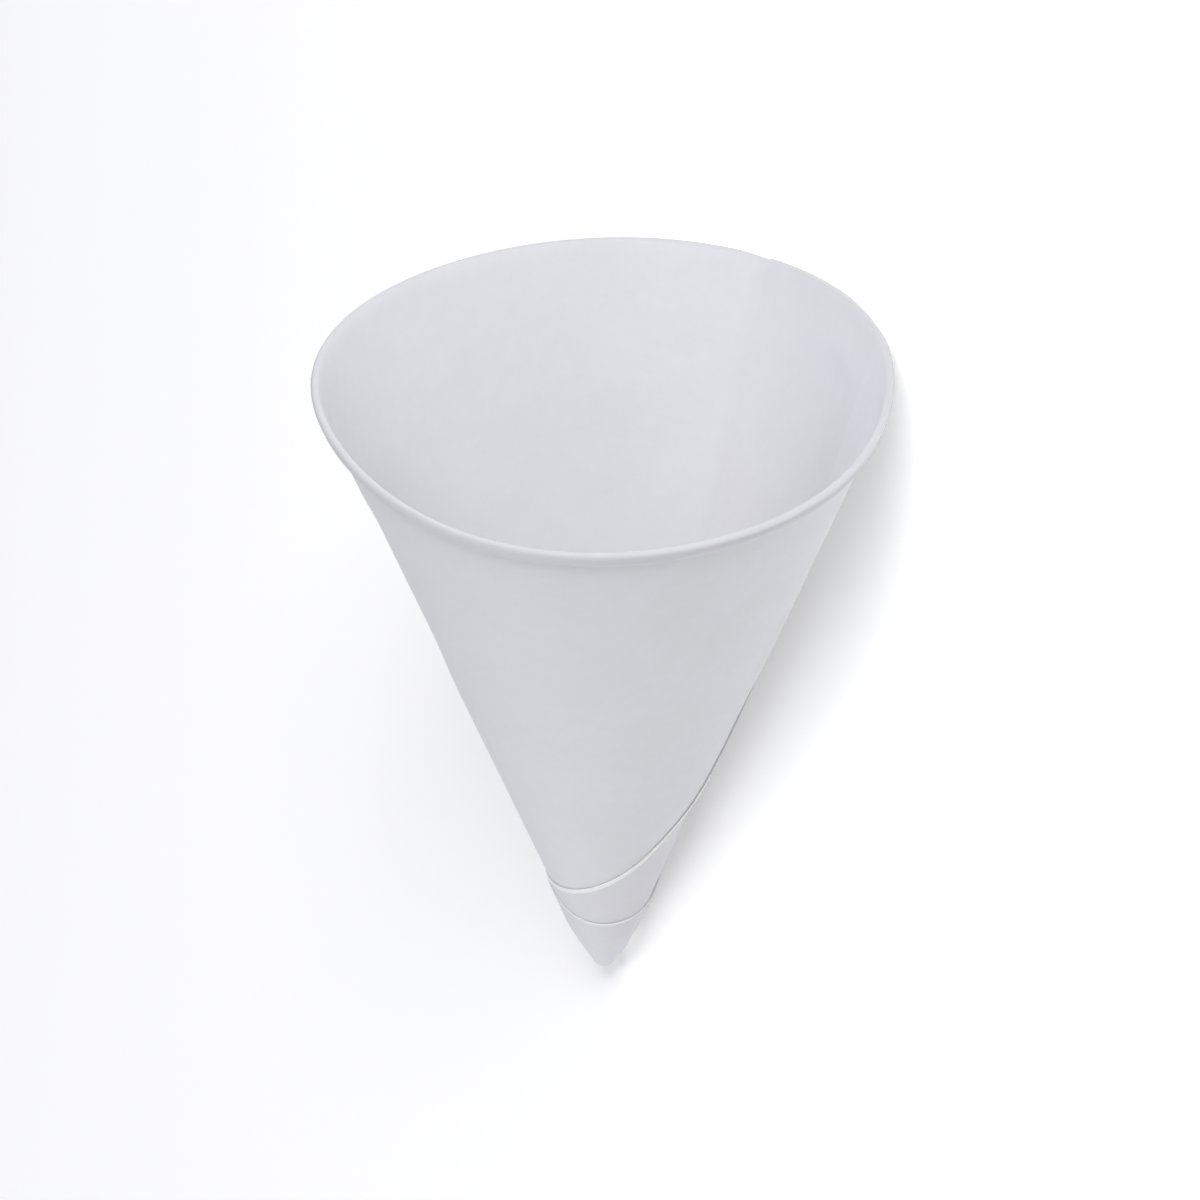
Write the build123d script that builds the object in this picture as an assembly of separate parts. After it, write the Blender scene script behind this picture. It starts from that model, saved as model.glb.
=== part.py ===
"""Cone paper cup: one sheet of white paper wound into a cone, glued along its overlap, with a rolled rim.

The cup is drawn standing on its tip, with its axis along Z, and is then laid on its side.
It comes to rest on the overlap, where two layers of paper make it heaviest.
The soft roll has a small flat spot there, so the cup doesn't roll away.
The mouth faces +X in the finished part, and the table is the plane Z = 0.
All lengths are in millimetres and all angles in degrees.
"""

import os
from math import acos, asin, atan2, cos, degrees, hypot, radians, sin, tan

from build123d import *

# --- overall sizes -----------------------------------------------------------
RIM_DIAMETER = 73.0  # over the rolled rim
CUP_HEIGHT = 89.0  # tip to the top of the roll, along the axis

# --- the sheet ---------------------------------------------------------------
PAPER = 0.20  # thickness of one layer
GLUE_BITE = 0.05  # how far a layer is merged into the one under it

# --- the rolled rim ----------------------------------------------------------
ROLL_WIDTH = 1.10  # across the roll, square to the wall and including it
ROLL_LENGTH = 1.90  # along the wall
ROLL_END = 90.0  # how far the lower bend turns in before the sheet's cut edge
INNER_LAG = 12.0  # how much sooner the second layer ends inside the roll

# --- the tip -----------------------------------------------------------------
TIP_RADIUS = 1.0  # inside radius of the rounded end
NOSE_HALF_ANGLE = 30.0  # the last few millimetres taper faster than the wall
NOSE_LENGTH = 8.0  # from the end of the tip to where the wall's own taper begins

# --- how the sheet is cut and wound --------------------------------------------
# Seen from above the winding runs clockwise, and starts at the seam inside the cup.
START_AZIMUTH = 57.0  # direction of the inner seam
OVERLAP = 37.0  # turn past a full circle, measured at the rim
EDGE_TO_APEX = 21.6  # long straight edge of the flat sheet to the cone's apex
END_TO_APEX = 17.7  # end edge, square to the long one, to the cone's apex
WOUND_TURNS = 2.69  # turns from the inner seam to the end of the tail
TIP_WAD = 1.2  # length of nose along which the layers are pressed into one
RAMP = 6.0  # angle over which a layer climbs over the edge beneath it

# --- how the cup lies ----------------------------------------------------------
REST_AZIMUTH = 27.0  # the heaviest side, which settles on the table
REST_FLAT = 0.44  # how deep the soft roll is pressed flat where the cup lies on it

# --- what follows from these -------------------------------------------------
LAYERS_AT_TIP = 3
ROLL_RADIUS = ROLL_WIDTH / 2
ROLL_STRAIGHT = ROLL_LENGTH - ROLL_WIDTH
TIP_CENTRE = TIP_RADIUS + LAYERS_AT_TIP * PAPER + GLUE_BITE
ROLL_R = RIM_DIAMETER / 2 - ROLL_RADIUS
ROLL_Z = CUP_HEIGHT - ROLL_RADIUS


def nose_radius(height, offset=0.0):
    """Radius of the nose at a height, at an offset outward from the inside face."""
    slope = radians(NOSE_HALF_ANGLE)
    return (TIP_RADIUS + offset) / cos(slope) + (height - TIP_CENTRE) * tan(slope)


def wall_half_angle():
    """Half-angle of the wall, which starts on the nose and is tangent to the roll."""
    rise = ROLL_Z - NOSE_LENGTH
    reach = ROLL_R - nose_radius(NOSE_LENGTH)
    return degrees(atan2(reach, rise) - asin(ROLL_RADIUS / hypot(rise, reach)))


HALF_ANGLE = wall_half_angle()
SIN_A = sin(radians(HALF_ANGLE))
COS_A = cos(radians(HALF_ANGLE))
TAN_A = tan(radians(HALF_ANGLE))
OUT = Vector(COS_A, 0, -SIN_A)  # square to the wall, outward
UP = Vector(SIN_A, 0, COS_A)  # along the wall, toward the rim
APEX_Z = NOSE_LENGTH - nose_radius(NOSE_LENGTH) / TAN_A
SLANT = (ROLL_Z - APEX_Z) / COS_A  # apex to rim along the wall


def wall_radius(height, offset=0.0):
    """Radius of the wall at a height, at an offset outward from its inside face."""
    return (height - APEX_Z) * TAN_A + offset / COS_A


def corner(offset):
    """Where the nose meets the wall, at an offset from the inside face."""
    slope = tan(radians(NOSE_HALF_ANGLE))
    gap = wall_radius(0, offset) - nose_radius(0, offset)
    height = gap / (slope - TAN_A)
    return Vector(wall_radius(height, offset), 0, height)


def tip_edges(offset):
    """Rounded end, from the axis out to where the nose's straight taper begins."""
    radius = TIP_RADIUS + offset
    centre = Vector(0, 0, TIP_CENTRE)
    slope = radians(NOSE_HALF_ANGLE)
    middle = radians(90 + NOSE_HALF_ANGLE) / 2
    bottom = centre - Vector(0, 0, radius)
    half_way = centre + Vector(sin(middle - slope), 0, -cos(middle - slope)) * radius
    tangent = centre + Vector(cos(slope), 0, -sin(slope)) * radius
    return [Edge.make_three_point_arc(bottom, half_way, tangent)]


def on_nose(along, offset):
    """Point on the nose at a distance from where its straight taper begins."""
    slope = radians(NOSE_HALF_ANGLE)
    square = Vector(cos(slope), 0, -sin(slope))
    taper = Vector(sin(slope), 0, cos(slope))
    return Vector(0, 0, TIP_CENTRE) + square * (TIP_RADIUS + offset) + taper * along


def rim_edges(offset, last_turn):
    """Wall and outward roll, from the start of the wall to the cut edge inside the roll."""
    radius = ROLL_RADIUS - offset
    centre = Vector(ROLL_R, 0, ROLL_Z)
    lower = centre - UP * ROLL_STRAIGHT
    start = centre - OUT * radius
    over = centre + OUT * radius
    down = lower + OUT * radius
    whole = radians(last_turn)
    turn = OUT * cos(whole / 2) - UP * sin(whole / 2)
    end = lower + (OUT * cos(whole) - UP * sin(whole)) * radius
    return [
        Edge.make_line(corner(offset), start),
        Edge.make_three_point_arc(start, centre + UP * radius, over),
        Edge.make_line(over, down),
        Edge.make_three_point_arc(down, lower + turn * radius, end),
    ]


def first_layer_face():
    """Section of the sheet's first turn, from the axis to the cut edge in the roll."""
    inner, outer = 0.0, PAPER
    inside = tip_edges(inner) + [Edge.make_line(on_nose(0, inner), corner(inner))]
    outside = tip_edges(outer) + [Edge.make_line(on_nose(0, outer), corner(outer))]
    inside += rim_edges(inner, ROLL_END)
    outside += rim_edges(outer, ROLL_END)
    cut_edge = Edge.make_line(inside[-1] @ 1, outside[-1] @ 1)
    on_axis = Edge.make_line(inside[0] @ 0, outside[0] @ 0)
    return Face(Wire(inside + outside + [cut_edge, on_axis]))


def layer_face(inner, outer):
    """Section of a later layer that runs from the pressed tip into the roll."""
    inside = [Edge.make_line(on_nose(0, inner), corner(inner))]
    outside = [Edge.make_line(on_nose(0, outer), corner(outer))]
    inside += rim_edges(inner, ROLL_END - INNER_LAG)
    outside += rim_edges(outer, ROLL_END - INNER_LAG)
    cut_edge = Edge.make_line(inside[-1] @ 1, outside[-1] @ 1)
    foot = Edge.make_line(inside[0] @ 0, outside[0] @ 0)
    return Face(Wire(inside + outside + [cut_edge, foot]))


def short_face(inner, outer, height):
    """Section of a later layer that ends on the wall at a height, and never reaches the rim."""
    foot = TIP_WAD / 2
    points = [
        on_nose(foot, inner),
        corner(inner),
        Vector(wall_radius(height, inner), 0, height),
        Vector(wall_radius(height, outer), 0, height),
        corner(outer),
        on_nose(foot, outer),
    ]
    return Face(Wire.make_polygon(points, close=True))


def tip_face():
    """Section of the pressed tip, where all the layers are one solid wad."""
    inner, outer = PAPER / 2, LAYERS_AT_TIP * PAPER + GLUE_BITE
    inside = tip_edges(inner) + [Edge.make_line(on_nose(0, inner), on_nose(TIP_WAD, inner))]
    outside = tip_edges(outer) + [Edge.make_line(on_nose(0, outer), on_nose(TIP_WAD, outer))]
    top = Edge.make_line(inside[-1] @ 1, outside[-1] @ 1)
    on_axis = Edge.make_line(inside[0] @ 0, outside[0] @ 0)
    return Face(Wire(inside + outside + [top, on_axis]))


def wound(section, start_turn, end_turn):
    """Sweep a section along the winding between two angles counted from the inner seam."""
    turned = section.rotate(Axis.Z, START_AZIMUTH - end_turn)
    return Solid.revolve(turned, end_turn - start_turn, Axis.Z)


def on_cone(turn, slant, offset):
    """Point on the wall at a winding angle and a distance from the apex."""
    azimuth = radians(START_AZIMUTH - turn)
    radius = slant * SIN_A + offset * COS_A
    height = APEX_Z + slant * COS_A - offset * SIN_A
    return Vector(radius * cos(azimuth), radius * sin(azimuth), height)


def straight_edge(to_apex, foot, start_turn, end_turn, steps):
    """Blade that stands square on the wall, along an edge that is straight in the flat sheet."""
    near, far = [], []
    for step in range(steps + 1):
        turn = start_turn + (end_turn - start_turn) * step / steps
        slant = to_apex / cos(radians(turn * SIN_A - foot))
        near.append(on_cone(turn, slant, -0.8))
        far.append(on_cone(turn, slant, 2.2))
    return Face.make_surface_from_curves(Edge.make_spline(near), Edge.make_spline(far))


def below(piece, blade):
    """The part of a layer between the tip and a blade."""
    halves = piece.split(blade, keep=Keep.BOTH)
    solids = [solid for half in halves if half for solid in half.solids()]
    return min(solids, key=lambda solid: solid.bounding_box().min.Z)


def rim_foot():
    """Direction of the long edge's nearest point to the apex, in the flat sheet."""
    return (360 + OVERLAP) * SIN_A + degrees(acos(EDGE_TO_APEX / SLANT))


def ramp_loft(profile, heights):
    """Solid along the inner seam, ruled through the same outline at several heights."""
    wires = []
    for height in heights:
        points = []
        for turn, offset in profile:
            if height < corner(0).Z:
                radius = nose_radius(height, offset)
            else:
                radius = wall_radius(height, offset)
            azimuth = radians(START_AZIMUTH + turn)
            points.append(Vector(radius * cos(azimuth), radius * sin(azimuth), height))
        wires.append(Wire.make_polygon(points, close=True))
    return Solid.make_loft(wires, ruled=True)


def climbing_ramp(level, heights):
    """Where the sheet climbs from one layer's level to the next, past the edge beneath it."""
    root = PAPER - GLUE_BITE
    low = level * PAPER
    high = low + PAPER
    outline = [(-0.5, root), (RAMP, root), (RAMP, low), (0.0, high), (-0.5, high - PAPER / 2)]
    return ramp_loft(outline, heights)


def seam_groove(heights):
    """Space inside the cup beside the start of the sheet, under the layer that climbs over it."""
    outline = [(0.0, -0.3), (RAMP, -0.3), (RAMP, 0.0), (0.0, PAPER)]
    return ramp_loft(outline, heights)


def slant_height(turn, to_apex, foot):
    """Height of a straight edge where it passes a winding angle."""
    return APEX_Z + to_apex / cos(radians(turn * SIN_A - foot)) * COS_A


def build_cup():
    """The whole cup, standing on its tip."""
    foot = rim_foot()
    one, two, three = PAPER, 2 * PAPER, 3 * PAPER
    long_edge = straight_edge(EDGE_TO_APEX, foot, 350 + OVERLAP, 719.5, 48)
    end_edge = straight_edge(END_TO_APEX, foot + 90, 712, 360 * WOUND_TURNS + 8, 36)
    long_edge_end = straight_edge(EDGE_TO_APEX, foot, 706, 740, 12)
    middle = 0.42 * CUP_HEIGHT

    first = Solid.revolve(first_layer_face(), 360, Axis.Z)
    tip = Solid.revolve(tip_face(), 360, Axis.Z)
    second = below(wound(layer_face(one - GLUE_BITE, two), 360, 718), long_edge)
    tail = wound(short_face(two - GLUE_BITE, three, middle), 719, 360 * WOUND_TURNS)
    tail = below(below(tail, end_edge), long_edge_end)

    inside_roll = ROLL_Z - 0.2
    under_edge = slant_height(720, EDGE_TO_APEX, foot)
    near_tip = on_nose(TIP_WAD / 2, 0).Z
    wall_start = corner(0).Z
    ramp_one = climbing_ramp(1, [near_tip, wall_start, inside_roll])
    ramp_two = climbing_ramp(2, [near_tip, wall_start, under_edge])
    groove = seam_groove([wall_start + 3, inside_roll - ROLL_STRAIGHT])

    later = second
    for piece in (tail, tip, ramp_one, ramp_two):
        later = later.fuse(piece)
    return first.fuse(later).cut(groove).clean()


def rest_angle():
    """Angle between the table and the axis when the cup lies on its rim and its nose."""
    edge = corner(LAYERS_AT_TIP * PAPER)
    rise = ROLL_Z - edge.Z
    reach = ROLL_R - edge.X
    return degrees(atan2(reach, rise) + asin((ROLL_RADIUS - REST_FLAT) / hypot(rise, reach)))


def roll_core():
    """Space that the roll encloses, out to the middle of its paper, all round the rim."""
    radius = ROLL_RADIUS - PAPER / 2
    centre = Vector(ROLL_R, 0, ROLL_Z)
    lower = centre - UP * ROLL_STRAIGHT
    edges = [
        Edge.make_three_point_arc(centre - OUT * radius, centre + UP * radius, centre + OUT * radius),
        Edge.make_line(centre + OUT * radius, lower + OUT * radius),
        Edge.make_three_point_arc(lower + OUT * radius, lower - UP * radius, lower - OUT * radius),
        Edge.make_line(lower - OUT * radius, centre - OUT * radius),
    ]
    return Solid.revolve(Face(Wire(edges)), 360, Axis.Z)


def onto_its_side(piece):
    """Turn an upright piece so that the heaviest side of the cup meets the table."""
    nose = corner(LAYERS_AT_TIP * PAPER)
    lean = radians(rest_angle())
    table = nose.Z * sin(lean) - nose.X * cos(lean)
    turned = piece.rotate(Axis.Z, -REST_AZIMUTH).rotate(Axis.Y, 90 - rest_angle())
    return turned.translate(Vector(0, 0, -table))


def lay_down(cup):
    """Lay the cup on the table, press its roll flat there, and bring it over the origin."""
    under = Solid.make_box(400, 400, 50).translate(Vector(-200, -200, -50))
    film = Solid.make_box(400, 400, PAPER).translate(Vector(-200, -200, 0))
    pressed = onto_its_side(roll_core()).intersect(film)
    patch = pressed.solids()[0] if hasattr(pressed, "solids") else pressed[0]
    laid = onto_its_side(cup).cut(under).fuse(patch).clean()
    middle = laid.bounding_box().center()
    return laid.translate(Vector(-middle.X, -middle.Y, 0))


os.makedirs("parts", exist_ok=True)
paper_cup = lay_down(build_cup())
export_step(paper_cup, "parts/paper_cup.step")
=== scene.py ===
# %% [markdown]
# # A cone paper cup, lying on a table
# The cup is one sheet of white paper. The lesson cuts it flat, winds it into a cone, rolls its rim,
# presses its tip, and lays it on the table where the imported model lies. A plain cone with a pipe round
# its rim would be quicker, but it would have no seam, no layers at the tip and no cut edges.

from math import acos, asin, atan2, ceil, cos, degrees, exp, hypot, pi, radians, sin, tan

import bmesh
import bpy
from mathutils import Matrix, Vector


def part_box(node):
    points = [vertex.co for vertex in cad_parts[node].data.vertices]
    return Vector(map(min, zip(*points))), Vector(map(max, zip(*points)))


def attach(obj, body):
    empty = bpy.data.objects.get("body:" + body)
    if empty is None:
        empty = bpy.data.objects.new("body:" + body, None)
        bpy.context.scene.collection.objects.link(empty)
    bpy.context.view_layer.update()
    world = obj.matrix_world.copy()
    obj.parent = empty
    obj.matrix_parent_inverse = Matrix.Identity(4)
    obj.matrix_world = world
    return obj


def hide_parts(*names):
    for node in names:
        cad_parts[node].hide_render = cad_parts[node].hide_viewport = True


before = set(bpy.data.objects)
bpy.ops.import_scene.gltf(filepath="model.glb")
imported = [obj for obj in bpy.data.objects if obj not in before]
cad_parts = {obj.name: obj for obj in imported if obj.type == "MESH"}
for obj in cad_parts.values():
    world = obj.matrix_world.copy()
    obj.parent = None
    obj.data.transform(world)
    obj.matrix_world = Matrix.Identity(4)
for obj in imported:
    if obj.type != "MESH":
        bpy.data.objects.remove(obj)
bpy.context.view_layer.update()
low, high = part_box("paper_cup")
MM = 0.001
RIM_DIAMETER = (high.y - low.y) / MM
print("rim diameter from the frame:", round(RIM_DIAMETER, 2), "mm")

# %% [markdown]
# ## The cup's own sizes
# These are the same driving sizes as the CAD part, in millimetres and degrees.
# The cup is drawn standing on its tip, with its axis along Z. From above, the paper winds clockwise.
# The mesh is made in millimetres, because the sheet is thin, and is scaled to metres at the end.

# %% Sizes
CUP_HEIGHT = 89.0
PAPER = 0.2  # thickness of the sheet
PITCH = 0.21  # from one layer to the next
ROLL_RADIUS, ROLL_STRAIGHT = 0.55, 0.8
TIP_RADIUS, TIP_CENTRE = 1.0, 1.65
NOSE_ANGLE, NOSE_LENGTH = 30.0, 8.0
START_AZIMUTH = 57.0  # the seam inside the cup
OVERLAP = 37.0  # turn past a full circle, at the rim
EDGE_TO_APEX = 21.6  # long straight edge of the flat sheet to the cone's apex
END_TO_APEX = 17.7  # end edge, square to the long one
LAST_TURN = 968.4  # where the tail ends, counted from the inner seam
RAMP = 7.0  # angle over which a layer climbs over the edge beneath it
REST_AZIMUTH = 27.0  # the heaviest side, which lies on the table
REST_FLAT = 0.44  # how deep the soft roll is pressed flat there

ROLL_R, ROLL_Z = RIM_DIAMETER / 2 - ROLL_RADIUS, CUP_HEIGHT - ROLL_RADIUS
nose_slope = radians(NOSE_ANGLE)
nose_r = TIP_RADIUS / cos(nose_slope) + (NOSE_LENGTH - TIP_CENTRE) * tan(nose_slope)
rise, reach = ROLL_Z - NOSE_LENGTH, ROLL_R - nose_r
ALPHA = atan2(reach, rise) - asin(ROLL_RADIUS / hypot(rise, reach))
APEX_Z = NOSE_LENGTH - nose_r / tan(ALPHA)
SLANT = (ROLL_Z - APEX_Z) / cos(ALPHA)  # apex to rim, along the wall
LONG_FOOT = (360 + OVERLAP) * sin(ALPHA) + degrees(acos(EDGE_TO_APEX / SLANT))
print("half-angle", round(degrees(ALPHA), 2), "apex", round(APEX_Z, 2), "slant", round(SLANT, 2))

# %% [markdown]
# ## The profile
# Seen from the side, the sheet's inside face is one line: round the tip, up the nose, up the wall,
# and over into the roll. It is walked in short steps, with the slope given at each distance from the pole.
# A slope that fades from the nose's to the wall's leaves no crease inside the cup.

# %% Slope along the profile, and the walk
ARC = TIP_RADIUS * radians(90 - NOSE_ANGLE)
NOSE = (NOSE_LENGTH - TIP_CENTRE + TIP_RADIUS * sin(nose_slope)) / cos(nose_slope)
WALL_START = ARC + NOSE
POLE = (NOSE_LENGTH - APEX_Z) / cos(ALPHA) - WALL_START  # flat radius of the pole
WALL_END = SLANT - POLE + ROLL_RADIUS * tan(ALPHA)
HALF_ROLL = pi * ROLL_RADIUS
ROLL_END = WALL_END + HALF_ROLL * 1.5 + ROLL_STRAIGHT


def ease(value):
    """0 below 0, 1 above 1, and smooth between."""
    value = min(1.0, max(0.0, value))
    return value * value * (3 - 2 * value)


def slope_at(path):
    """Angle of the profile from the axis, in radians, at a distance from the pole."""
    if path < ARC:
        return radians(90) - path / TIP_RADIUS
    if path < WALL_END:
        return nose_slope + (ALPHA - nose_slope) * ease((path - WALL_START + 2) / 4)
    beyond = path - WALL_END
    first = min(beyond, HALF_ROLL)
    second = min(max(beyond - HALF_ROLL - ROLL_STRAIGHT, 0), HALF_ROLL / 2)
    return ALPHA + (first + second) / ROLL_RADIUS


STEP = 0.02
walk = [(0.0, TIP_CENTRE - TIP_RADIUS)]
for count in range(ceil(ROLL_END / STEP) + 2):
    angle = slope_at((count + 0.5) * STEP)
    radius, height = walk[-1]
    walk.append((radius + STEP * sin(angle), height + STEP * cos(angle)))
walk_end = walk[round(WALL_END / STEP)]
print("the walk has", len(walk), "points and reaches radius", round(max(p[0] for p in walk), 2))


def on_profile(path, offset, bulge=0.0, squeeze=0.0):
    """Radius and height on the profile, at a layer's offset, with the wall moved outward by a bulge."""
    place = min(max(path / STEP, 0), len(walk) - 1.001)
    part, index = place % 1, int(place)
    radius = walk[index][0] * (1 - part) + walk[index + 1][0] * part
    height = walk[index][1] * (1 - part) + walk[index + 1][1] * part
    angle, wall = slope_at(path), slope_at(min(path, WALL_END - STEP))
    radius += offset * cos(angle)
    height -= offset * sin(angle)
    if squeeze:  # the roll's distance out from the wall's own line is made smaller
        past = (radius - walk_end[0]) * cos(ALPHA) - (height - walk_end[1]) * sin(ALPHA)
        bulge -= squeeze * max(past, 0)
    return radius + bulge * cos(wall), height - bulge * sin(wall)


# %% [markdown]
# ## The flat sheet
# A cone unrolls into part of a disc. A grid is bent into that part of a disc, about its apex, and two
# straight cuts make the long edge and the end edge. Cutting it flat keeps those edges straight in the
# paper, so they wind round the cup in the curves that the real ones have.

# %% Rows of the grid: close together at the tip and in the roll
rows = [ARC * step / 6 for step in range(6)]
rows += [ARC + NOSE * step / 9 for step in range(9)]
wall_rows = 66
rows += [WALL_START + (WALL_END - WALL_START) * step / wall_rows for step in range(wall_rows)]
rows += [WALL_END + HALF_ROLL * step / 8 for step in range(8)]
rows += [WALL_END + HALF_ROLL + ROLL_STRAIGHT * step / 2 for step in range(2)]
rows += [ROLL_END - HALF_ROLL / 2 + HALF_ROLL / 2 * step / 4 for step in range(5)]
columns = round(LAST_TURN / 2)
print(len(rows), "rows and", columns, "columns")


def flat_angle(vertex):
    """Angle round the apex in the flat sheet, in degrees from the inner seam."""
    return degrees(atan2(vertex.co.y, vertex.co.x)) % 360


LAST_FLAT_SINGLE = 126  # past this flat angle the sheet can meet its straight edges

# %% Bend the grid into part of a disc
sheet = bmesh.new()
bmesh.ops.create_grid(sheet, x_segments=columns, y_segments=len(rows) - 1, size=0.5)
for vertex in sheet.verts:
    turn = (vertex.co.x + 0.5) * LAST_TURN
    radius = POLE + rows[round((vertex.co.y + 0.5) * (len(rows) - 1))]
    angle = radians(turn) * sin(ALPHA)
    vertex.co = Vector((radius * cos(angle), radius * sin(angle), 0))
print(len(sheet.faces), "faces before the cuts")

# %% The two straight cuts
for foot, distance in ((LONG_FOOT, EDGE_TO_APEX), (LONG_FOOT + 90, END_TO_APEX)):
    square = Vector((cos(radians(foot)), sin(radians(foot)), 0))
    late = [f for f in sheet.faces if min(flat_angle(v) for v in f.verts) > LAST_FLAT_SINGLE]
    chosen = set(late)
    near = late + [e for e in sheet.edges if chosen.intersection(e.link_faces)]
    near += [v for v in sheet.verts if chosen.intersection(v.link_faces)]
    bmesh.ops.bisect_plane(sheet, geom=near, dist=0.001, plane_co=square * distance, plane_no=square)
    gone = [
        f
        for f in sheet.faces
        if f.calc_center_median().dot(square) > distance
        and min(flat_angle(v) for v in f.verts) > LAST_FLAT_SINGLE
    ]
    bmesh.ops.delete(sheet, geom=gone, context="FACES")
print(len(sheet.faces), "faces after them")

# %% [markdown]
# The flat sheet is also the cup's UV map, in millimetres from the apex. Every mark in the paper is placed
# on it, so a mark follows the sheet round the cone and through the layers.

# %% Keep the flat sheet as the UV map
flat_uv = sheet.loops.layers.uv.new("flat_sheet")
for face in sheet.faces:
    for loop in face.loops:
        loop[flat_uv].uv = loop.vert.co.xy
print("UV map:", flat_uv.name)

# %% [markdown]
# ## Winding
# A layer lies one pitch outside the layer beneath it. The climb is a short ramp at the inner seam.
# The rim isn't a true circle and the wall is soft, so the paper moves a little in or out, square to
# itself: the rim's slow waves, the flatter stretch between the two seams, the dent beside the tail.

# %% How far a point of the sheet stands out from a true cone
RIM_WAVES = ((2, -0.50, 0.70), (3, -0.64, 0.69), (4, -0.25, -0.38))  # waves in a turn, and their sizes
TAIL_DENT, TAIL_HOLLOW = 0.85, 0.3  # beside the tail, and just above it
LEFT_HOLLOW = 0.32  # in the far side of the wall, halfway up
SEAM_CORNER = 0.42  # where the outer seam meets the roll
SEAM_SQUEEZE = 0.15  # share of the roll's width that is lost between the two seams
TIP_LEAN = 0.45  # how far the soft tip is bent to one side


def lobe(azimuth, middle, width):
    """A soft bump round the cup: 1 at the middle and 0 far from it."""
    away = (azimuth - middle + 180) % 360 - 180
    return exp(-((away / width) ** 2))


def layer_offset(turn):
    """Offset of the inside face at a winding angle."""
    return PITCH * (ease((turn - 360) / RAMP + 1) + ease((turn - 720) / RAMP + 1))


def soft_shape(azimuth, path):
    """Bulge of the wall, outward, in millimetres."""
    angle = radians(azimuth)
    rim = sum(c * cos(k * angle) + s * sin(k * angle) for k, c, s in RIM_WAVES)
    bulge = rim / cos(ALPHA) * min((path + POLE) / SLANT, 1.0)
    dent = ease((36 - path) / 9) * (0.75 + 0.25 * ease((path - 13) / 3))
    bulge -= TAIL_DENT * lobe(azimuth, -14, 48) * dent
    bulge -= TAIL_HOLLOW * lobe(azimuth, -20, 30) * ease((path - 24) / 6) * ease((60 - path) / 12)
    bulge -= LEFT_HOLLOW * lobe(azimuth, 205, 30) * ease((path - 50) / 10) * ease((86 - path) / 8)
    bulge += SEAM_CORNER * lobe(azimuth, 27, 7) * ease((path - WALL_END + 8) / 8)
    return bulge * ease((path - 2) / 8)


def squeezed(azimuth, path):
    """How much of the roll's width is lost to the flat stretch between the seams, from 0 to 1."""
    between = ease((azimuth - 17) / 4) * ease((60 - azimuth) / 4)
    return SEAM_SQUEEZE * between * ease((path - WALL_END) / 0.5)


EDGE_LIFT = 0.02  # how far the long edge stands off the layer beneath


def lifted_edge(flat):
    """Lift of the last half-millimetre before the long edge, clear of the tip and of the rim."""
    foot = radians(LONG_FOOT)
    inside = EDGE_TO_APEX - (flat.x * cos(foot) + flat.y * sin(foot))
    away = hypot(flat.x, flat.y)
    return EDGE_LIFT * exp(-((inside / 0.7) ** 2)) * ease((away - 12) / 6) * ease((SLANT - 4 - away) / 6)


# %% Wind the sheet round the cone
pole = [v for v in sheet.verts if v.co.length < POLE + 0.001]
for vertex in sheet.verts:
    turn = flat_angle(vertex) / sin(ALPHA)
    path = vertex.co.length - POLE
    lift = lifted_edge(vertex.co) if turn > 200 else 0
    around = (START_AZIMUTH - turn) % 360
    bulge, squeeze = soft_shape(around, path), squeezed(around, path)
    radius, height = on_profile(path, layer_offset(turn) + lift, bulge, squeeze)
    azimuth = radians(around)
    lean = TIP_LEAN * ease((18 - height) / 18) ** 2
    vertex.co = Vector((radius * cos(azimuth) - lean, radius * sin(azimuth), height))
bmesh.ops.remove_doubles(sheet, verts=pole, dist=0.004)
print("the cone's rim reaches", round(max(v.co.z for v in sheet.verts), 2), "mm")

# %% [markdown]
# ## Thickness
# The sheet so far is the paper's inside face. Solidify gives it the paper's thickness, outward.
# It also closes the cut edges, so the mesh is one closed sheet all the way round its border.

# %% Give the sheet its thickness
bmesh.ops.recalc_face_normals(sheet, faces=sheet.faces)
middles = [(f.normal, f.calc_center_median()) for f in sheet.faces]
if sum(normal.x * middle.x + normal.y * middle.y for normal, middle in middles) < 0:
    bmesh.ops.reverse_faces(sheet, faces=sheet.faces)
bmesh.ops.solidify(sheet, geom=sheet.faces, thickness=-PAPER)
bmesh.ops.recalc_face_normals(sheet, faces=sheet.faces)
print(len(sheet.faces), "faces with both sides and the cut edges")

# %% [markdown]
# ## Laying the cup down
# The cup lies on its overlap, the heaviest side, on its rim and the end of its nose. One matrix takes
# the upright cup to the table, and the camera uses the same one later, so that the picture shows the
# cup standing on its tip. The rim's soft roll is pressed flat where it meets the table.

# %% The matrix that lays the cup down
layers = 3 * PAPER
nose_high = (
    (TIP_RADIUS + layers) / cos(nose_slope) - TIP_CENTRE * tan(nose_slope) + APEX_Z * tan(ALPHA)
    - layers / cos(ALPHA)
) / (tan(ALPHA) - tan(nose_slope))
nose_wide = (nose_high - APEX_Z) * tan(ALPHA) + layers / cos(ALPHA)
run, side = ROLL_Z - nose_high, ROLL_R - nose_wide
REST = atan2(side, run) + asin((ROLL_RADIUS - REST_FLAT) / hypot(run, side))
turned = Matrix.Rotation(radians(90) - REST, 4, "Y") @ Matrix.Rotation(radians(-REST_AZIMUTH), 4, "Z")
tip_reach = TIP_CENTRE * (1 - cos(REST))  # the round end passes the pole by this much
table_level = nose_high * sin(REST) - nose_wide * cos(REST)
lay = Matrix.Translation(Vector((low.x / MM + tip_reach, 0, -table_level))) @ turned
print("the axis rises", round(degrees(REST), 2), "degrees from the table")

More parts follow.
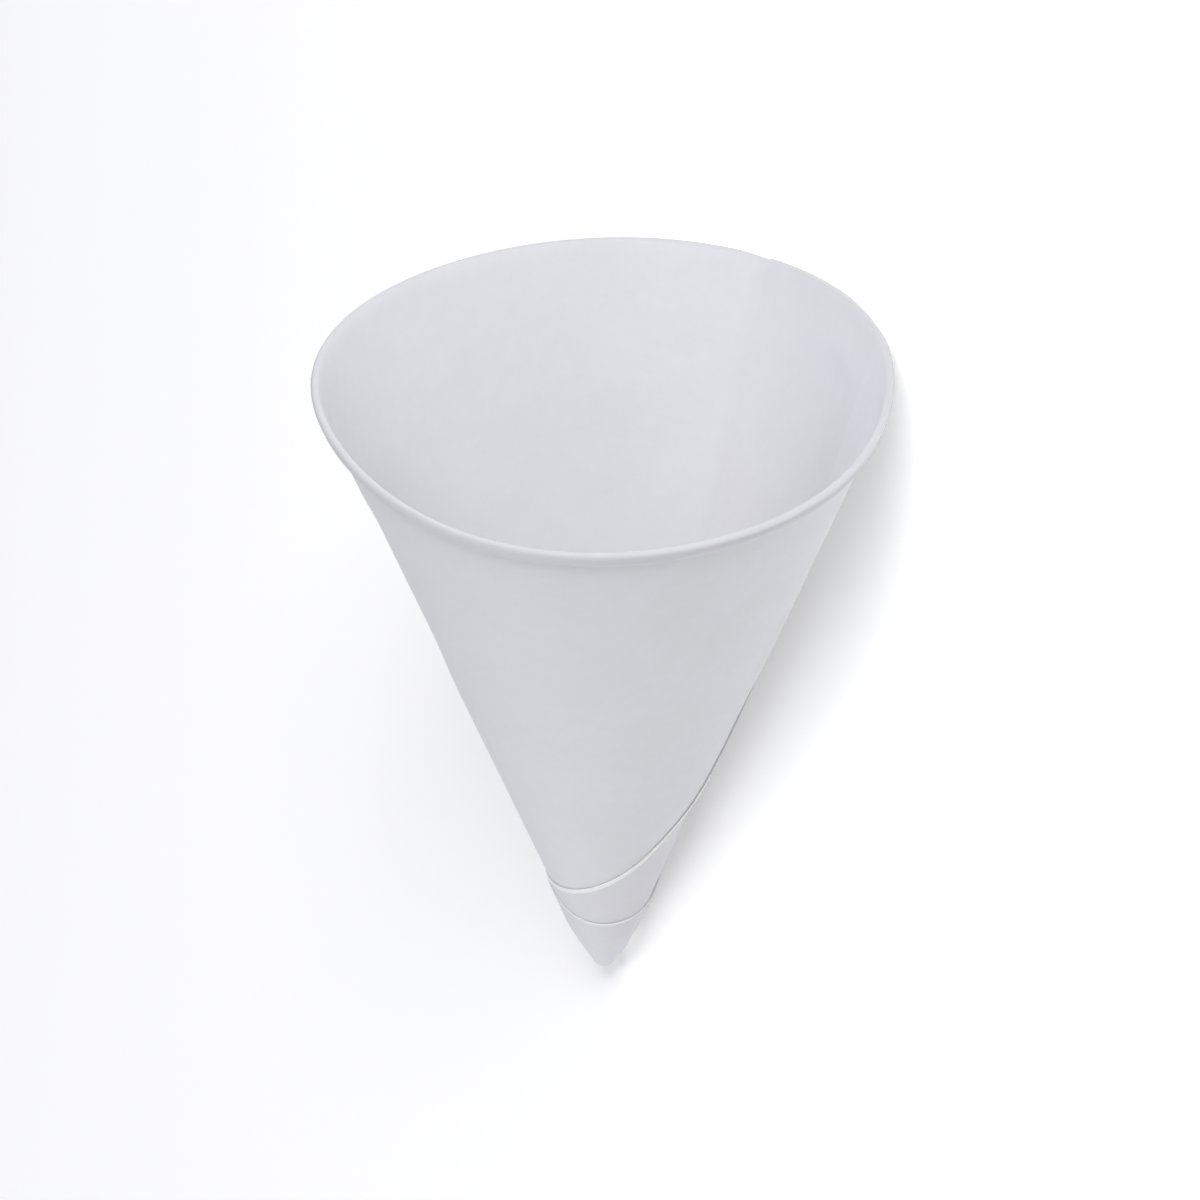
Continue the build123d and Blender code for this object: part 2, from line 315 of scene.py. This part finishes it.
# %% Lay it down, then let the soft rim and the nose both touch
bmesh.ops.transform(sheet, matrix=lay, verts=sheet.verts)
for attempt in range(3):
    rim = min((v for v in sheet.verts if v.co.x > 20), key=lambda v: v.co.z).co.copy()
    nose = min((v for v in sheet.verts if v.co.x < -20), key=lambda v: v.co.z).co.copy()
    tilt = atan2(rim.z + REST_FLAT - nose.z, rim.x - nose.x)
    settle = Matrix.Rotation(tilt, 4, "Y") @ Matrix.Translation(-nose)
    settle = Matrix.Translation(Vector((nose.x, nose.y, 0))) @ settle
    bmesh.ops.transform(sheet, matrix=settle, verts=sheet.verts)
    lay = settle @ lay
TWICE_RIM_CURVE = 78  # twice the rim's radius of curvature, seen along the table
for vertex in sheet.verts:
    if vertex.co.x > 40:
        pressed = REST_FLAT - vertex.co.y**2 / TWICE_RIM_CURVE
        vertex.co.z += max(pressed, 0) * ease(1 - vertex.co.z / 3)
    vertex.co.z = max(vertex.co.z, 0)
print("settled by", round(degrees(tilt), 4), "degrees in the last pass")

# %% Make the mesh object
bmesh.ops.scale(sheet, vec=Vector((MM, MM, MM)), verts=sheet.verts)
for face in sheet.faces:
    face.smooth = True
mesh = bpy.data.meshes.new("cone_cup_paper")
sheet.to_mesh(mesh)
sheet.free()
mesh.set_sharp_from_angle(angle=radians(50))
cup = bpy.data.objects.new("cone_cup_paper", mesh)
bpy.context.collection.objects.link(cup)
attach(cup, "root")
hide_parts("paper_cup")
print(cup.name, "has", len(mesh.polygons), "faces")

# %% [markdown]
# ## The paper
# Uncoated white paper is cool white, matt, and a little uneven: fibres and soft clouds where it is
# thicker.
# Over that, light is painted in: a painted highlight along the cut edges, and painted shade where two
# layers let less light through than one, and in the roll. One colour would make it look like plastic, so
# the marks are worked out from the flat sheet and laid over the colour.

# %% Small helpers for the node trees
def group(name, outputs):
    """A new shader node group with outputs only, and its output node."""
    tree = bpy.data.node_groups.new(name, "ShaderNodeTree")
    for label, kind in outputs:
        tree.interface.new_socket(name=label, in_out="OUTPUT", socket_type=kind)
    return tree, tree.nodes.new("NodeGroupOutput")


def node(tree, kind, inputs=(), **settings):
    """A node with its settings; each input is a value or the output that feeds it."""
    made = tree.nodes.new(kind)
    for name, value in settings.items():
        setattr(made, name, value)
    for name, value in dict(inputs).items():
        if isinstance(value, bpy.types.NodeSocket):
            tree.links.new(value, made.inputs[name])
        else:
            made.inputs[name].default_value = value
    return made


def reckon(tree, operation, first, second):
    """The result of one piece of arithmetic on two values or outputs."""
    return node(tree, "ShaderNodeMath", {0: first, 1: second}, operation=operation).outputs[0]


def fade(tree, value, start, end, low=0.0, high=1.0):
    """A smooth change from low to high as a value goes from start to end."""
    places = {"Value": value, "From Min": start, "From Max": end, "To Min": low, "To Max": high}
    made = node(tree, "ShaderNodeMapRange", places, interpolation_type="SMOOTHSTEP")
    return made.outputs["Result"]


def vectors(tree, operation, first, second):
    """A node that works on two vectors, each a value or an output."""
    return node(tree, "ShaderNodeVectorMath", {0: first, 1: second}, operation=operation)


def along(tree, point, foot):
    """Distance in the flat sheet, from the apex, along the direction of a straight edge's foot."""
    way = (cos(radians(foot)), sin(radians(foot)), 0)
    return vectors(tree, "DOT_PRODUCT", point, way).outputs["Value"]


print("helpers ready")

# %% [markdown]
# The first group finds the straight edges and the double layers from the flat sheet. A point of the
# first turn has a second layer over it where the sheet still reaches one turn further on.

# %% Node group: edges and layers of the wound sheet
VALUE, VECTOR = "NodeSocketFloat", "NodeSocketVector"
edges, edges_out = group("sheet_edges", (("Cut Edge Highlight", VALUE), ("Double", VALUE), ("Roll", VALUE)))
flat = node(edges, "ShaderNodeUVMap", uv_map="flat_sheet").outputs["UV"]
apart = node(edges, "ShaderNodeSeparateXYZ", {"Vector": flat})
heading = reckon(edges, "ARCTAN2", apart.outputs["Y"], apart.outputs["X"])
heading = node(edges, "ShaderNodeMath", {0: heading, 1: 2 * pi, 2: 0}, operation="WRAP").outputs[0]
late = fade(edges, heading, radians(LAST_FLAT_SINGLE), radians(LAST_FLAT_SINGLE + 2))
long_edge = reckon(edges, "SUBTRACT", EDGE_TO_APEX, along(edges, flat, LONG_FOOT))
end_edge = reckon(edges, "SUBTRACT", END_TO_APEX, along(edges, flat, LONG_FOOT + 90))
# Painted highlight: a pale line along the long cut edge and a fainter one along the end edge, in the tail
# only.
long_edge_highlight = fade(edges, long_edge, 0.8, 0.4)
end_edge_highlight = fade(edges, end_edge, 0.4, 0.15, 0, 0.45)
edge_highlight = reckon(edges, "MULTIPLY", reckon(edges, "MAXIMUM", long_edge_highlight, end_edge_highlight), late)
edges.links.new(edge_highlight, edges_out.inputs["Cut Edge Highlight"])
# Painted shade: where a second layer lies over the first turn, the paper's colour is made darker and more
# violet.
second = along(edges, flat, LONG_FOOT - 360 * sin(ALPHA))
double_layer_shade = reckon(edges, "MAXIMUM", fade(edges, second, EDGE_TO_APEX + 0.6, EDGE_TO_APEX - 0.6), late)
edges.links.new(double_layer_shade, edges_out.inputs["Double"])
# Painted shade: the roll's mask, where the paper's colour is made darker.
from_apex = node(edges, "ShaderNodeVectorMath", {0: flat}, operation="LENGTH").outputs["Value"]
edges.links.new(fade(edges, from_apex, SLANT + 0.1, SLANT + 0.8), edges_out.inputs["Roll"])
print("group", edges.name, "has", len(edges.nodes), "nodes")

# %% [markdown]
# The second group is the paper itself: soft clouds some millimetres across, a finer mottle,
# and short fibres that lie every way in the sheet.

# %% Node group: clouds and fibres in the paper
sheet_look, look_out = group("paper_look", (("Tone", VALUE), ("Tint", VALUE), ("Normal", VECTOR)))
flat = node(sheet_look, "ShaderNodeUVMap", uv_map="flat_sheet").outputs["UV"]


def noise(where, scale, detail, roughness=0.5):
    """Soft noise over the flat sheet; the scale is in waves per millimetre."""
    places = {"Vector": where, "Scale": scale, "Detail": detail, "Roughness": roughness}
    return node(sheet_look, "ShaderNodeTexNoise", places)


clouds = noise(flat, 0.11, 3, 0.6)
mottle = noise(flat, 0.55, 4, 0.65)
bent = vectors(sheet_look, "MULTIPLY", noise(flat, 1.3, 2).outputs["Color"], (2, 2, 0))
wavy = vectors(sheet_look, "ADD", flat, bent.outputs["Vector"])
fibre = noise(wavy.outputs["Vector"], 2.6, 5, 0.7)
cloud_tone = fade(sheet_look, clouds.outputs["Fac"], 0.3, 0.7, -0.008, 0.008)
mottle_tone = fade(sheet_look, mottle.outputs["Fac"], 0.25, 0.75, -0.009, 0.009)
fibre_tone = fade(sheet_look, fibre.outputs["Fac"], 0.25, 0.75, -0.008, 0.008)
tone = reckon(sheet_look, "ADD", reckon(sheet_look, "ADD", cloud_tone, mottle_tone), fibre_tone)
sheet_look.links.new(reckon(sheet_look, "ADD", tone, 1.0), look_out.inputs["Tone"])
sheet_look.links.new(fade(sheet_look, clouds.outputs["Fac"], 0.35, 0.65), look_out.inputs["Tint"])
height = reckon(sheet_look, "ADD", fibre.outputs["Fac"], mottle.outputs["Fac"])
bump = node(sheet_look, "ShaderNodeBump", {"Height": height, "Strength": 0.25, "Distance": 0.00003})
sheet_look.links.new(bump.outputs["Normal"], look_out.inputs["Normal"])
print("group", sheet_look.name, "has", len(sheet_look.nodes), "nodes")

# %% [markdown]
# The material mixes the groups' masks into one colour. The cut edge is a painted highlight: a paler line
# where the edge catches the light. The double layers get painted shade, a little darker and more violet,
# and the roll, where the sheet is turned over on itself, gets painted shade that is darker still.

# %% The paper material
paper = bpy.data.materials.new("white_paper")
paper.use_nodes = True
tree = paper.node_tree
shader = tree.nodes["Principled BSDF"]
marks = node(tree, "ShaderNodeGroup", node_tree=edges)
look = node(tree, "ShaderNodeGroup", node_tree=sheet_look)


def mixed(factor, first, second):
    """A mix of two colours, each a value or an output."""
    made = node(tree, "ShaderNodeMix", {0: factor}, data_type="RGBA")
    for slot, colour in ((6, first), (7, second)):
        if isinstance(colour, bpy.types.NodeSocket):
            tree.links.new(colour, made.inputs[slot])
        else:
            made.inputs[slot].default_value = (*colour, 1)
    return made.outputs[2]


COOL_WHITE, VIOLET_WHITE = (0.735, 0.742, 0.760), (0.739, 0.741, 0.766)
# Painted light in the colours: darker painted shade for two layers and for the roll, and a paler painted
# highlight for the cut edge.
TWO_LAYER_SHADE, ROLL_SHADE, CUT_EDGE_HIGHLIGHT = (0.716, 0.714, 0.739), (0.645, 0.645, 0.675), (0.88, 0.88, 0.88)
colour = mixed(look.outputs["Tint"], COOL_WHITE, VIOLET_WHITE)
# Painted shade on the double layers.
colour = mixed(marks.outputs["Double"], colour, TWO_LAYER_SHADE)
# Painted shade in the roll.
colour = mixed(marks.outputs["Roll"], colour, ROLL_SHADE)
toned = node(tree, "ShaderNodeVectorMath", {0: colour}, operation="SCALE")
tree.links.new(look.outputs["Tone"], toned.inputs["Scale"])
# Painted highlight along the cut edges.
colour = mixed(marks.outputs["Cut Edge Highlight"], toned.outputs["Vector"], CUT_EDGE_HIGHLIGHT)
tree.links.new(colour, shader.inputs["Base Color"])
tree.links.new(look.outputs["Normal"], shader.inputs["Normal"])
shader.inputs["Roughness"].default_value = 0.88
shader.inputs["Specular IOR Level"].default_value = 0.25
mesh.materials.append(paper)
print("paper has", len(tree.nodes), "nodes")

# %% [markdown]
# ## The camera
# The camera looks down into the mouth of the upright cup, and is laid down with it by the same matrix.
# Aiming it at the lying cup by hand would take many more numbers.

# %% The camera
DISTANCE, ELEVATION = 700.0, 31.71
mouth = Vector((0, 0, ROLL_Z))
toward = Vector((0, -cos(radians(ELEVATION)), sin(radians(ELEVATION))))
camera_data = bpy.data.cameras.new("camera")
camera_data.lens, camera_data.sensor_width = 171.4, 36
camera_data.clip_start, camera_data.clip_end = 0.05, 10
camera = bpy.data.objects.new("camera", camera_data)
bpy.context.collection.objects.link(camera)
bpy.context.scene.camera = camera
aim = Matrix.Rotation(radians(90 - ELEVATION), 4, "X")
NUDGE_DOWN, NUDGE_ASIDE = -2.114, 0.078  # these centre the whole cup in the picture
nudge = Matrix.Rotation(radians(NUDGE_DOWN), 4, "X") @ Matrix.Rotation(radians(NUDGE_ASIDE), 4, "Y")
upright = Matrix.Translation(mouth + toward * DISTANCE) @ aim @ nudge
camera.matrix_world = Matrix.Scale(MM, 4) @ lay @ upright @ Matrix.Scale(1 / MM, 4)
print("camera at", [round(c, 3) for c in camera.matrix_world.translation])

# %% [markdown]
# ## The floor
# A pale table, wide enough to have no edge in sight. A little light of its own keeps it near white
# without brighter lamps, which would bleach the paper.

# %% The floor
floor_mesh = bpy.data.meshes.new("floor")
plane = bmesh.new()
bmesh.ops.create_grid(plane, x_segments=1, y_segments=1, size=3)
plane.to_mesh(floor_mesh)
plane.free()
floor_object = bpy.data.objects.new("floor", floor_mesh)
bpy.context.collection.objects.link(floor_object)
pale = bpy.data.materials.new("pale_floor")
pale.use_nodes = True
floor_look = pale.node_tree.nodes["Principled BSDF"].inputs
floor_look["Base Color"].default_value = (0.9, 0.9, 0.9, 1)
floor_look["Roughness"].default_value = 0.9
floor_look["Emission Color"].default_value = (1, 1, 1, 1)
floor_look["Emission Strength"].default_value = 0.26
floor_mesh.materials.append(pale)
print("floor made")

# %% [markdown]
# ## The lights
# Four soft lights stand a metre away, so their shadows have no hard edge. The key lights the inside
# through the mouth, a low one lights the outside from beyond the tip, and two weaker ones fill.

# %% The lights
world = bpy.data.worlds.new("studio")
bpy.context.scene.world = world
world.use_nodes = True
world.node_tree.nodes["Background"].inputs["Color"].default_value = (1, 1, 1, 1)
world.node_tree.nodes["Background"].inputs["Strength"].default_value = 0.02
bpy.context.scene.view_settings.view_transform = "Standard"


def soft_light(name, azimuth, elevation, power, colour):
    """A half-metre soft light, one metre from the cup, seen from it at two angles."""
    data = bpy.data.lights.new(name, "AREA")
    data.size, data.energy, data.color = 0.5, power, colour
    light = bpy.data.objects.new(name, data)
    bpy.context.collection.objects.link(light)
    flat_way = cos(radians(elevation))
    way = Vector((flat_way * cos(radians(azimuth)), flat_way * sin(radians(azimuth)), 0))
    way.z = sin(radians(elevation))
    light.location = Vector((0, 0, 0.03)) + way
    light.rotation_mode = "QUATERNION"
    light.rotation_quaternion = way.to_track_quat("Z", "Y")
    return light


soft_light("key", 330, 40, 7.9, (1.0, 1.0, 1.0))
soft_light("from_the_tip", 180, 12, 6.2, (0.99, 1.0, 1.01))
soft_light("far_side", 72, 12, 2.6, (0.99, 1.0, 1.01))
soft_light("overhead", 0, 90, 2.1, (0.95, 0.95, 1.10))
print("four lights")
